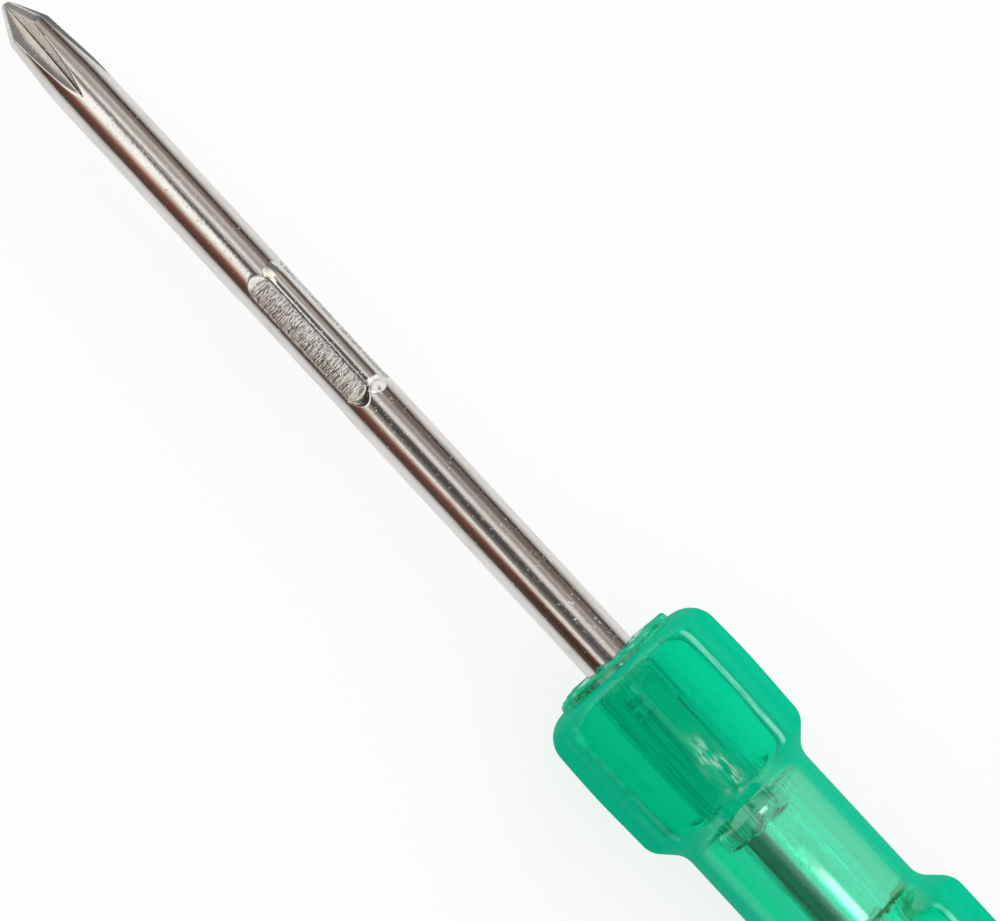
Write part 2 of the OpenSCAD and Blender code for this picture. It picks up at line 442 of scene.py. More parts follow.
def through_nodes(mesh, tree, values):
    """The plain mesh that a geometry tree makes of a mesh, with the tree's inputs set by name."""
    holder = new_object(mesh.name, mesh)
    modifier = holder.modifiers.new("Nodes", "NODES")
    modifier.node_group = tree
    for item in tree.interface.items_tree:
        if item.item_type == "SOCKET" and item.in_out == "INPUT" and item.name in values:
            modifier[item.identifier] = values[item.name]
    ready = holder.evaluated_get(bpy.context.evaluated_depsgraph_get())
    result = bpy.data.meshes.new_from_object(ready)
    holder.modifiers.remove(modifier)
    bpy.data.objects.remove(holder)
    if not len(result.polygons):
        raise RuntimeError(f"{tree.name} made no faces")
    name = mesh.name
    bpy.data.meshes.remove(mesh)
    result.name = name
    return result


def new_tree(name, inputs):
    """An empty geometry tree with named inputs, its graph and the wires of its inputs."""
    tree = bpy.data.node_groups.new(name, "GeometryNodeTree")
    graph = Graph(tree)
    for label, kind in {"Geometry": "NodeSocketGeometry", **inputs}.items():
        tree.interface.new_socket(label, in_out="INPUT", socket_type=kind)
    tree.interface.new_socket("Geometry", in_out="OUTPUT", socket_type="NodeSocketGeometry")
    source = tree.nodes.new("NodeGroupInput")
    return tree, graph, {socket.name: Wire(graph, socket) for socket in source.outputs if socket.name}


def finish_tree(graph, geometry, material):
    """Ends a geometry tree in plain faces with their material."""
    plain = graph.add("GeometryNodeRealizeInstances", None, {"Geometry": geometry}, "Geometry")
    dressed = graph.add(
        "GeometryNodeSetMaterial", None, {"Geometry": plain, "Material": material}, "Geometry")
    graph.add("NodeGroupOutput", None, {"Geometry": dressed})


def bar_profile(blade, along):
    """Radius of the plain bar with its cone and taper, at a distance from the point."""
    rise = (blade.cone_radius - blade.point_radius) / blade.cone_length
    cone = blade.point_radius + rise * along
    slope = (blade.shank_radius - blade.cone_radius) / (blade.taper_length - blade.cone_length)
    taper = blade.cone_radius + slope * (along - blade.cone_length)
    point = smooth_min(cone, taper, SHOULDER_ROUND)
    bar = smooth_min(point, np.full_like(along, blade.shank_radius), TAPER_ROUND)
    dome = np.sqrt(np.clip(1 - np.clip(1 - along / BLUNT_LENGTH, 0, 1) ** 2, 0, 1))
    least = 0.45
    return bar * (least + (1 - least) * dome)


def from_nearest(angles):
    """Angles from the middle of the nearest of four flats."""
    return (angles + QUARTER / 2) % QUARTER - QUARTER / 2


def depth_within(blade, along, start, end_radius, offset):
    """How far places lie inside a pressed stretch with round ends."""
    bulge = end_radius - np.sqrt(end_radius ** 2 - offset ** 2)
    return np.minimum(along - start, start + blade.ear_length - along) - bulge


def ear_reach(blade, along, from_ear, start):
    """Radius of the ears' rounded backs, or 0 beside them."""
    across = np.clip(blade.shank_radius * np.sin(from_ear), -blade.ear_radius, blade.ear_radius)
    inside = depth_within(blade, along, start, blade.ear_radius, across)
    nose = np.sqrt(1 - np.clip(1 - inside / blade.ear_nose, 0, 1) ** 2)
    sunk = (1 - nose) * (blade.ear_rise + blade.ear_foot + EAR_SINK)
    centre = blade.shank_radius + blade.ear_rise - blade.ear_radius - sunk
    room = blade.ear_radius ** 2 - (centre * np.sin(from_ear)) ** 2
    reach = centre * np.cos(from_ear) + np.sqrt(np.clip(room, 0, None))
    return np.where((room > 0) & (np.cos(from_ear) > 0) & (inside > 0), reach, 0)


def press_flat(blade, bar, along, from_flat, start):
    """The bar with its flats pressed in, and how much each point belongs to a flat."""
    offset = (blade.shank_radius - blade.flat_depth) * np.tan(from_flat)
    offset = np.clip(offset, -FLAT_REACH, FLAT_REACH)
    inside = depth_within(blade, along, start, blade.flat_end, offset)
    floor = blade.shank_radius - blade.flat_depth * np.clip(inside / blade.flat_ramp, -1, 1)
    aside = np.abs(floor * np.tan(from_flat)) - blade.flat_width / 2
    wall = ease(-FLAT_WALL, FLAT_WALL, aside)
    crown = offset ** 2 / (2 * blade.flat_crown)
    sunk = smooth_min(bar, floor / np.cos(from_flat) - crown, FLAT_ROUND)
    pressed = ease(0.5, 0.95, (blade.shank_radius - floor) / blade.flat_depth) * (1 - wall)
    return sunk + (bar - sunk) * wall, pressed


def flute_root(blade, along):
    """Radius of the root of a ground flute, an arc of the grinding wheel."""
    run, rise = blade.flute_length, blade.shank_radius - blade.flute_root
    chord = math.hypot(run, rise)
    lift = math.sqrt(blade.wheel_radius ** 2 - chord ** 2 / 4)
    wheel_along = run / 2 - lift * rise / chord
    wheel_out = blade.flute_root + rise / 2 + lift * run / chord
    farthest = 0.6 * blade.wheel_radius
    reach = np.clip(along - wheel_along, 0, farthest)
    return wheel_out - np.sqrt(blade.wheel_radius ** 2 - reach ** 2)


def tip_flutes(blade, along, from_flat):
    """Radius of the ground hollows of the cross point."""
    root = flute_root(blade, along)
    slope = math.tan(blade.flute_angle / 2)
    soft, least = 0.05, 0.05
    wall = slope * np.cos(from_flat) - np.sqrt(np.sin(from_flat) ** 2 + soft ** 2) + soft
    return root * slope / np.clip(wall, least, None)


def rim_angles(blade, along, sides):
    """Angles round the blade, even on the bar and drawn to the rims of the flutes at the point."""
    narrow, wide = math.radians(4), math.radians(41)
    thin = 0.0002
    crowded = 1.7
    short, past = 0.0006, 0.0016
    even = np.arange(sides)[None, :] * FULL_TURN / sides + 0 * along
    from_flat = from_nearest(even)
    slope = math.tan(blade.flute_angle / 2)
    reach = flute_root(blade, along) * slope / np.maximum(bar_profile(blade, along), thin)
    rim = np.arccos(np.clip(reach / math.hypot(1, slope), 0, 1)) - math.atan(1 / slope)
    rim = np.clip(rim, narrow, wide)
    half = QUARTER / 4
    even_share = ease(blade.flute_length - short, blade.flute_length + past, along)
    rim = rim + (half - rim) * even_share
    away = np.abs(from_flat)
    crowd = crowded - (crowded - 1) * even_share
    below = rim * (1 - np.clip(1 - away / half, 0, 1) ** crowd)
    above = rim + (2 * half - rim) * np.clip(away / half - 1, 0, 1) ** crowd
    drawn = np.where(away < half, below, above)
    return even - from_flat + np.sign(from_flat) * drawn


def slot_faces(blade, along, angles, total):
    """Radius of the two tapered faces of the slotted end."""
    grown = np.clip(total - along - blade.slot_land, 0, None) / (blade.slot_taper - blade.slot_land)
    half = blade.slot_thickness / 2
    flat = half + grown * (blade.shank_radius - half)
    edgewise = 0.02
    return flat / np.clip(np.abs(np.cos(angles)), edgewise, None)


def blade_skin(blade, material):
    """The blade's closed mesh, with its ground and pressed places marked."""
    total = SLOT_X - POINT_X
    first = blade.ear_setback
    second = total - blade.ear_setback - blade.ear_length
    fine, even, coarse = 0.0001, 0.0004, 0.0012
    point, cone, flutes = 0.0003, 0.0046, 0.0142
    outside, inside = 0.0006, 0.0024
    tip = total - 0.0008
    stretches = [(0, point, 0.00004), (point, cone, fine), (cone, flutes, 0.00016)]
    reached = flutes
    for start in (first, second):
        end = start + blade.ear_length
        stretches += [
            (reached, start - outside, coarse), (start - outside, start + inside, fine),
            (start + inside, end - inside, even), (end - inside, end + outside, fine)]
        reached = end + outside
    places = stations(*stretches, (reached, tip, 0.0006), (tip, total, 0.0002))
    sides = 192
    along = places[:, None]
    angles = rim_angles(blade, along, sides)
    from_flat = from_nearest(angles)
    from_ear = (angles + QUARTER / 2) % math.pi - QUARTER
    steel = np.broadcast_to(bar_profile(blade, along), (len(places), sides))
    marks = np.zeros_like(steel)
    # The second pressed section gets a tenth of the marks, its painted shade and painted reflection among
    # them.
    for start, soil_and_shade_share in ((first, 1.0), (second, 0.1)):
        steel = smooth_max(steel, ear_reach(blade, along, from_ear, start), blade.ear_foot)
        steel, pressed = press_flat(blade, steel, along, from_flat, start)
        marks = np.maximum(marks, pressed * soil_and_shade_share)
    fluted = smooth_min(steel, tip_flutes(blade, along, from_flat), FLUTE_ROUND)
    turned = ease(blade.cone_length - 0.0003, blade.cone_length + 0.0007, along + 0 * angles)
    ground = np.maximum(ease(0, 0.00005, steel - fluted), 1 - turned)
    steel = smooth_min(fluted, slot_faces(blade, along, angles, total), SLOT_ROUND)
    ground = np.maximum(ground, ease(0.00001, 0.00006, fluted - steel))
    rings = round_points(POINT_X + along, steel, angles + blade.turn)
    mesh = closed_skin("blade_steel", rings, (POINT_X, 0, AXIS_HEIGHT), (SLOT_X, 0, AXIS_HEIGHT))
    for name, values in (("ground", ground), ("pressed", marks)):
        carry(mesh, name, np.concatenate([values.ravel(), [1, 1]]))
    mesh.set_sharp_from_angle(angle=SHARP_EDGE)
    mesh.materials.append(material)
    return mesh


def steel_material(blade):
    """Bright plated bar: drawn lines along it, grinding marks on the point, small pits and worn specks, and
    on the pressed flats grime, painted shade and a painted brown reflection.
    """
    material, graph = new_material("Plated steel")
    ground, pressed = graph.carried("ground"), graph.carried("pressed")
    drawn = graph.spread((180, 5200, 5200))
    peel = graph.spread((2600, 4200, 4200), Detail=2.0)
    cloud = graph.spread((260, 900, 900))
    pits = graph.spread((3600, 3600, 3600), Detail=2.0).fade(0.66, 0.74)
    specks = graph.spread((2400, 2400, 2400), Detail=1.0, Roughness=0.4).fade(0.72, 0.76)
    grinding = graph.spread((4600, 1500, 1500))
    # Dark flecks over the pressed flats, partly grime and partly painted shade between the press marks.
    grime_and_shade_flecks = graph.spread((5200, 1400, 1400), Detail=2.0).fade(0.52, 0.6)
    # Flecks of painted shade on the flats towards +Y.
    far_flat_shade_flecks = graph.spread((3000, 700, 700), Detail=2.0).fade(0.36, 0.54)
    rough = pressed.fade(0.1, 0.4)
    across = graph.across()
    tint = blade.steel
    # Of these marks, the grime is partly painted shade, the flats towards +Y get painted shade, and the
    # flats towards -Y a painted brown reflection.
    for share, shade in (
            (cloud.fade(0.42, 0.7), CLOUDED_STEEL), (pits * 0.55, PIT), (specks * 0.6, WORN_SPECK),
            (grime_and_shade_flecks * rough * 0.55, GRIME_AND_SHADE), (far_flat_shade_flecks * across.fade(0.0008, 0.0016) * rough * 0.85, FAR_FLAT_PAINTED_SHADE),
            (across.fade(-0.0018, -0.0022) * rough * 0.5, PAINTED_BROWN_REFLECTION)):
        tint = graph.mix(share, tint, shade)
    roughness = 0.05 + 0.04 * drawn + 0.04 * cloud + 0.1 * ground + 0.1 * pressed + 0.25 * specks
    height = 0.3 * drawn + 0.55 * peel - 0.6 * pits + ground * grinding * 2.2 + pressed * cloud * 0.8
    bump = graph.add(
        "ShaderNodeBump", None, {"Strength": 0.3, "Distance": 0.00003, "Height": height}, "Normal")
    shader = graph.add("ShaderNodeBsdfPrincipled", None, {
        "Base Color": tint, "Metallic": 1.0, "Roughness": roughness, "Normal": bump})
    graph.add("ShaderNodeOutputMaterial", None, {"Surface": shader})
    return material


def ridge_mesh(marks, blade):
    """One low ridge, a closed bar that covers nearly half of a flat's width and stands along Z."""
    half = blade.flat_width * RIDGE_REACH
    sunk = 0.2
    section = (
        (-0.5, -0.6), (0.5, -0.6), (0.5, 0.0), (0.22, 0.7), (-0.04, 1.0), (-0.3, 0.55), (-0.5, 0.0))
    rows = ((-1.0, 0.1), (-0.8, 0.8), (-0.2, 1.0), (0.35, 0.75), (0.85, 0.9), (1.0, 0.1))
    points = [
        (step * marks.width, side * half, (rise * tall - sunk) * marks.height)
        for side, tall in rows for step, rise in section]
    size = len(section)
    faces = [tuple(range(size))]
    for row in range(len(rows) - 1):
        for corner in range(size):
            here, after = row * size + corner, row * size + (corner + 1) % size
            faces.append((here, here + size, after + size, after))
    faces.append(tuple(range(len(points) - 1, len(points) - size - 1, -1)))
    mesh = bpy.data.meshes.new("press_marks")
    mesh.from_pydata(points, [], faces)
    carry(mesh, "pressed", np.full(len(points), 0.5))
    return mesh


def mark_tree(material):
    """Geometry tree that lays two rows of uneven ridges along each flat of both pressed sections."""
    lengths = ("Pitch", "Start", "Floor", "Row gap", "Swell", "Spacing", "Turn", "Height")
    tree, graph, given = new_tree("Press marks", {
        "Marks": "NodeSocketInt", "Seed": "NodeSocketInt", **dict.fromkeys(lengths, "NodeSocketFloat")})
    stray = (0.00006, 0.00012, 0.00001)
    smallest, largest = (0.7, 0.75, 0.4), (1.3, 1.05, 1.3)
    swing = 0.08
    flats, sections = 4, 2
    index = graph.add("GeometryNodeInputIndex")
    row = graph.add(
        "GeometryNodeMeshLine", None, {"Count": given["Marks"], "Offset": (0, 0, 0)}, "Mesh")
    side = (index.math("MODULO", 2.0) - 0.5) * given["Row gap"]
    place = graph.add("ShaderNodeCombineXYZ", None, {
        "X": given["Start"] + index * given["Pitch"], "Y": side, "Z": given["Floor"]})
    jitter = graph.add("FunctionNodeRandomValue", {"data_type": "FLOAT_VECTOR"}, {
        "Min": tuple(-part for part in stray), "Max": stray, "Seed": given["Seed"]}, "Value")
    row = graph.add("GeometryNodeSetPosition", None, {
        "Geometry": row, "Position": place, "Offset": jitter}, "Geometry")
    size = graph.add("FunctionNodeRandomValue", {"data_type": "FLOAT_VECTOR"}, {
        "Min": smallest, "Max": largest, "Seed": given["Seed"] + 1}, "Value")
    lean, skew = (
        graph.add("FunctionNodeRandomValue", {"data_type": "FLOAT"}, {
            "Min_001": -swing, "Max_001": swing, "Seed": given["Seed"] + number}, "Value_001")
        for number in (2, 3))
    tilt = graph.add("ShaderNodeCombineXYZ", None, {"X": side * given["Swell"], "Y": lean, "Z": skew})
    flat = graph.add("GeometryNodeInstanceOnPoints", None, {
        "Points": row, "Instance": given["Geometry"], "Rotation": tilt, "Scale": size}, "Instances")
    places = graph.add(
        "GeometryNodeMeshLine", None, {"Count": flats * sections, "Offset": (0, 0, 0)}, "Mesh")
    section = (index / flats).math("FLOOR")
    lift = graph.add(
        "ShaderNodeCombineXYZ", None, {"X": section * given["Spacing"], "Z": given["Height"]})
    places = graph.add(
        "GeometryNodeSetPosition", None, {"Geometry": places, "Position": lift}, "Geometry")
    turn = graph.add("ShaderNodeCombineXYZ", None, {"X": given["Turn"] + index * QUARTER})
    both = graph.add("GeometryNodeInstanceOnPoints", None, {
        "Points": places, "Instance": flat, "Rotation": turn}, "Instances")
    finish_tree(graph, both, material)
    return tree


def keyed_bore(handle, blade, along, angles):
    """Radius of the socket's wall, with its four keyways, at a distance from the front face."""
    bore = blade.shank_radius + handle.fit_gap
    centre = blade.shank_radius + blade.ear_rise - blade.ear_radius
    reach = blade.ear_radius + handle.fit_gap
    from_key = (angles - blade.turn) % QUARTER - QUARTER / 2
    past = np.clip(along - (handle.key_depth + handle.fit_gap - handle.key_end), 0, None)
    inside = reach ** 2 * (1 - (past / handle.key_end) ** 2) - (centre * np.sin(from_key)) ** 2
    key = np.where(inside > 0, centre * np.cos(from_key) + np.sqrt(np.clip(inside, 0, None)), 0)
    bevel = np.clip(handle.mouth_bevel - along, 0, None)
    return smooth_max(bore + bevel + 0 * angles, key, blade.ear_foot)


def rounded_outline(corners, turn_step, step):
    """Points along an outline of along, radius and rounding, with its corners turned as arcs."""
    shared, alone = 0.48, 0.98
    points = []
    for number, (along, radius, rounding) in enumerate(corners):
        here = Vector((along, radius))
        if rounding == 0:
            points.append(here)
            continue
        before = Vector(corners[number - 1][:2]) - here
        after = Vector(corners[number + 1][:2]) - here
        turn = math.pi - before.angle(after)
        room = min(
            before.length * (shared if corners[number - 1][2] else alone),
            after.length * (shared if corners[number + 1][2] else alone))
        cut = min(rounding * math.tan(turn / 2), room)
        start = here + before.normalized() * cut
        middle = (before.normalized() + after.normalized()).normalized()
        centre = here + middle * cut / math.sin(turn / 2)
        arm = start - centre
        side = 1 if before.x * after.y - before.y * after.x < 0 else -1
        steps = max(3, math.ceil(turn / turn_step))
        for i in range(steps + 1):
            swing = Matrix.Rotation(side * turn * i / steps, 2)
            points.append(centre + swing @ arm)
    filled = [points[0]]
    for point in points[1:]:
        gap = point - filled[-1]
        count = max(1, math.ceil(gap.length / step - 1e-6))
        base = filled[-1].copy()
        filled.extend(base + gap * i / count for i in range(1, count + 1))
    return np.array([tuple(point) for point in filled])


def torn_edge(handle, along, radius, angles):
    """Moves the points of the boss so that its edge and face are as uneven as a broken-off gate."""

    def unevenness(scale, layer, octaves):
        """Noise round the axis that closes on itself."""
        return np.array([
            noise.fractal((scale * math.cos(a), scale * math.sin(a), layer), 1.0, 2.0, octaves)
            for a in angles.ravel()])

    share = 1 - ease(handle.boss_height * 0.75, handle.boss_height * 1.1, along)
    share = share * ease(handle.boss_radius * 0.62, handle.boss_radius * 0.95, radius)
    ragged = unevenness(3.1, 0.4, 5)
    lumps = unevenness(1.3, 7.9, 4)
    radius = radius - share * handle.boss_wear * (0.55 + ragged[None, :])
    along = along + share * handle.boss_wear * (0.25 - 1.5 * lumps[None, :])
    return along, radius, share


def handle_skin(handle, blade):
    """The handle before its flutes: one closed mesh from the bottom of the bore to the rear end."""
    sides = 240
    angles = np.arange(sides)[None, :] * FULL_TURN / sides
    total = END_X - FACE_X
    key_end, key_start, mouth = handle.key_depth + 0.001, 0.02, 0.0008
    inner = stations(
        (handle.socket_depth, key_end, 0.002), (key_end, key_start, 0.00015),
        (key_start, mouth, 0.0016), (mouth, 0, 0.0001))[:, None]
    bore = keyed_bore(handle, blade, inner, angles)
    corner_radius = handle.grip_radius - handle.head_crown
    head_middle = (handle.boss_height + handle.head_length) / 2
    waist_start = handle.head_length + handle.shoulder_length
    waist_end = waist_start + handle.waist_length
    face = blade.shank_radius + blade.ear_rise + 3 * handle.mouth_bevel
    boss_round, crown_round, pole = 0.0003, 0.08, 0.0006
    outline = rounded_outline([
        (0, face, 0),
        (0, handle.boss_radius, boss_round),
        (handle.boss_height, handle.boss_radius, 0),
        (handle.boss_height, corner_radius, handle.nose_round),
        (head_middle, handle.grip_radius, crown_round),
        (handle.head_length, corner_radius, handle.shoulder_round),
        (waist_start, handle.waist_radius, handle.foot_round),
        (waist_end, handle.waist_radius, handle.foot_round),
        (waist_end + handle.shoulder_length, handle.grip_radius, handle.shoulder_round),
        (total, handle.grip_radius, handle.end_round),
        (total, pole, 0),
    ], turn_step=math.radians(4), step=0.0008)
    along, radius = (outline[:, side:side + 1] + 0 * angles for side in (0, 1))
    along, radius, torn = torn_edge(handle, along, radius, angles)
    rings = np.concatenate([
        round_points(FACE_X + inner, bore, angles), round_points(FACE_X + along, radius, angles)])
    bottom = (FACE_X + handle.socket_depth, 0, AXIS_HEIGHT)
    mesh = closed_skin("handle_body", rings, bottom, (END_X, 0, AXIS_HEIGHT))
    # Where the socket is scuffed and a painted glint goes, near the keyway stops.
    scuff_and_glint_mask = ease(handle.key_depth + 0.0006, handle.key_depth - 0.0012, inner) * ease(0, 0.0012, inner)
    for name, inside, outside in (
            ("outer", np.zeros_like(bore), np.ones_like(along)), ("torn", np.zeros_like(bore), torn),
            ("keyed", scuff_and_glint_mask + np.zeros_like(bore), np.zeros_like(along))):
        poles = [inside[0, 0], outside[-1, 0]]
        carry(mesh, name, np.concatenate([inside.ravel(), outside.ravel(), poles]))
    return mesh


def flute_tree(material):
    """Geometry tree that sinks round hollows into the side of a turned body."""
    tree, graph, given = new_tree("Flutes", {
        "Count": "NodeSocketInt", "Centre": "NodeSocketFloat", "Hollow": "NodeSocketFloat",
        "Rounding": "NodeSocketFloat", "Axis": "NodeSocketFloat"})
    place = graph.add("GeometryNodeInputPosition")
    x, y, z = graph.parts(place)
    drop = given["Axis"] - z
    radius = (y * y + drop * drop).math("SQRT").math("MAXIMUM", 1e-6)
    step = FULL_TURN / given["Count"]
    bearing = y.math("ARCTAN2", drop)
    off = bearing - (bearing / step).math("ROUND") * step
    aside = given["Centre"] * off.math("SINE")
    depth = (given["Hollow"] * given["Hollow"] - aside * aside).math("MAXIMUM", 0.0).math("SQRT")
    hollow = given["Centre"] * off.math("COSINE") - depth
    share = radius.math("SMOOTH_MIN", hollow, given["Rounding"]) / radius
    moved = graph.add(
        "ShaderNodeCombineXYZ", None, {"X": x, "Y": y * share, "Z": given["Axis"] - drop * share})
    smooth_below, fluted_above = 0.0088, 0.0102
    fluted = radius.fade(smooth_below, fluted_above)
    crest = (off / step * 2).math("ABSOLUTE").fade(0.64, 0.98) * fluted
    body = given["Geometry"]
    for name, value in (("fluted", fluted), ("crest", crest)):
        body = graph.add("GeometryNodeStoreNamedAttribute", {"data_type": "FLOAT", "domain": "POINT"}, {
            "Geometry": body, "Name": name, "Value": value}, "Geometry")
    cut = graph.add("GeometryNodeSetPosition", None, {"Geometry": body, "Position": moved}, "Geometry")
    finish_tree(graph, cut, material)
    return tree


def acetate_material(handle):
    """Clear tinted plastic: polished, faintly rippled, veiled where it slants away, with rubbed crests that
    carry a painted highlight towards +Y, painted shade towards -Y, and a scraped patch and socket scuffs
    that are partly painted highlights.
    """
    material, graph = new_material("Green acetate")
    outer, fluted, crest, torn, keyed = (
        graph.carried(name) for name in ("outer", "fluted", "crest", "torn", "keyed"))
    # 0 towards -Y and 1 towards +Y; it places the painted shade and the painted highlight.
    side = graph.across().fade(-0.004, 0.003)
    # Rubbed crests with a painted highlight, strongest towards +Y; the boss's torn edge is real wear.
    rubbed_and_highlit = crest.fade(0.8, 0.99) * graph.spread((220, 500, 500)).fade(0.3, 0.6) * (0.2 + 0.8 * side)
    rubbed_and_highlit = rubbed_and_highlit.math("MAXIMUM", torn * graph.spread((900, 900, 900)).fade(0.52, 0.64) * 0.6)
    # Whitish flecks of a scrape on the head's crest, partly a painted highlight.
    place = graph.add("ShaderNodeMapping", {"vector_type": "TEXTURE"}, {
        "Vector": graph.place(), "Scale": SCRAPE_HIGHLIGHT_SIZE,
        "Location": (FACE_X + SCRAPE_HIGHLIGHT_ALONG, SCRAPE_HIGHLIGHT_ASIDE, 2 * AXIS_HEIGHT)})
    scrape_highlight = graph.add("ShaderNodeVectorMath", {"operation": "LENGTH"}, {0: place}, "Value")
    scrape_highlight = scrape_highlight.fade(1.0, 0.3) * graph.spread((380, 1500, 1500), Detail=4.0).fade(0.44, 0.58)
    # Scuffs in the socket, painted whitish as glints too.
    scuff_glints = keyed * graph.spread((75, 1900, 1900), Detail=4.0, Roughness=0.6).fade(0.36, 0.56) * 0.9
    drawn = graph.spread((110, 1500, 1500), Detail=2.0) * (1 - outer)
    ripple = graph.spread((260, 420, 420), Detail=2.0)
    grain = graph.spread((2600, 2600, 2600), Detail=2.0)
    rubbed = graph.spread((700, 3800, 3800)).fade(0.6, 0.78)
    height = ripple + 0.012 * grain + 0.03 * rubbed + 2.5 * drawn
    bump = graph.add(
        "ShaderNodeBump", None, {"Strength": 0.1, "Distance": 0.0004, "Height": height}, "Normal")
    roughness = 0.03 + 0.05 * fluted + 0.04 * rubbed + 0.02 * grain
    skin = graph.mix(outer, (0.9, 1.0, 0.98), handle.body_colour)
    # Painted shade darkens the fluted plastic on its -Y side.
    skin = graph.mix(fluted * (1 - side) * 0.9, skin, handle.painted_shade_colour)
    clear = graph.add("ShaderNodeBsdfPrincipled", None, {
        "Base Color": skin, "Roughness": roughness, "IOR": 1.48, "Specular IOR Level": 0.2,
        "Specular Tint": (0.1, 1.0, 0.7, 1), "Transmission Weight": 1.0, "Normal": bump,
        "Coat Weight": (1 - fluted) * outer, "Coat Roughness": 0.04, "Coat IOR": 1.85})
    tint = graph.add("ShaderNodeVolumeAbsorption", None, {
        "Color": (*handle.acetate, 1), "Density": handle.acetate_density})
    slant = graph.add("ShaderNodeLayerWeight", None, {"Blend": 0.5}, "Facing").fade(0.2, 0.55)
    # The haze takes the crests' painted highlight, the socket's painted glints and the scrape's painted
    # highlight.
    matt = graph.mix(rubbed_and_highlit, handle.haze_colour, handle.rubbed_and_highlit_colour)
    matt = graph.mix(keyed, matt, handle.scuff_and_glint_colour)
    matt = graph.mix(scrape_highlight, matt, handle.scrape_highlight_colour)
    haze = graph.add("ShaderNodeBsdfPrincipled", None, {
        "Base Color": matt, "Roughness": roughness, "Specular IOR Level": 0.0, "Normal": bump})
    outside = outer * (1 - graph.add("ShaderNodeNewGeometry", out="Backfacing"))
    veil = handle.veil * (0.2 + 0.8 * fluted.math("MAXIMUM", torn))
    # The crests towards +Y are made matt so that their painted highlight shows.
    veil = veil.math("MAXIMUM", crest * side * 0.65)
    rubs_and_highlights = (rubbed_and_highlit * 0.75).math("MAXIMUM", scrape_highlight * 0.8)
    share = (veil + (0.95 - veil) * slant).math("MAXIMUM", rubs_and_highlights) * outside + scuff_glints
    shader = graph.add("ShaderNodeMixShader", None, {0: share, 1: clear, 2: haze})
    graph.add("ShaderNodeOutputMaterial", None, {"Surface": shader, "Volume": tint})
    return material


def table_material(stage):
    """White table that glows and keeps a soft shadow; polished steel sees it darker, away from the tool."""
    material, graph = new_material("White table")
    away = graph.across().fade(-0.012, -0.052)
    mirrored = graph.ray("Is Glossy Ray") * (0.1 + 0.9 * away)
    shade = graph.mix(mirrored, stage.table, (0.1, 0.06, 0.045))
    matt = graph.add("ShaderNodeBsdfDiffuse", None, {"Color": shade})
    dimmed = 1 - 0.45 * graph.ray("Is Diffuse Ray")
    glow = graph.add("ShaderNodeEmission", None, {"Color": shade, "Strength": dimmed})
    both = graph.add("ShaderNodeMixShader", None, {0: 0.8, 1: matt, 2: glow})
    graph.add("ShaderNodeOutputMaterial", None, {"Surface": both})
    return material


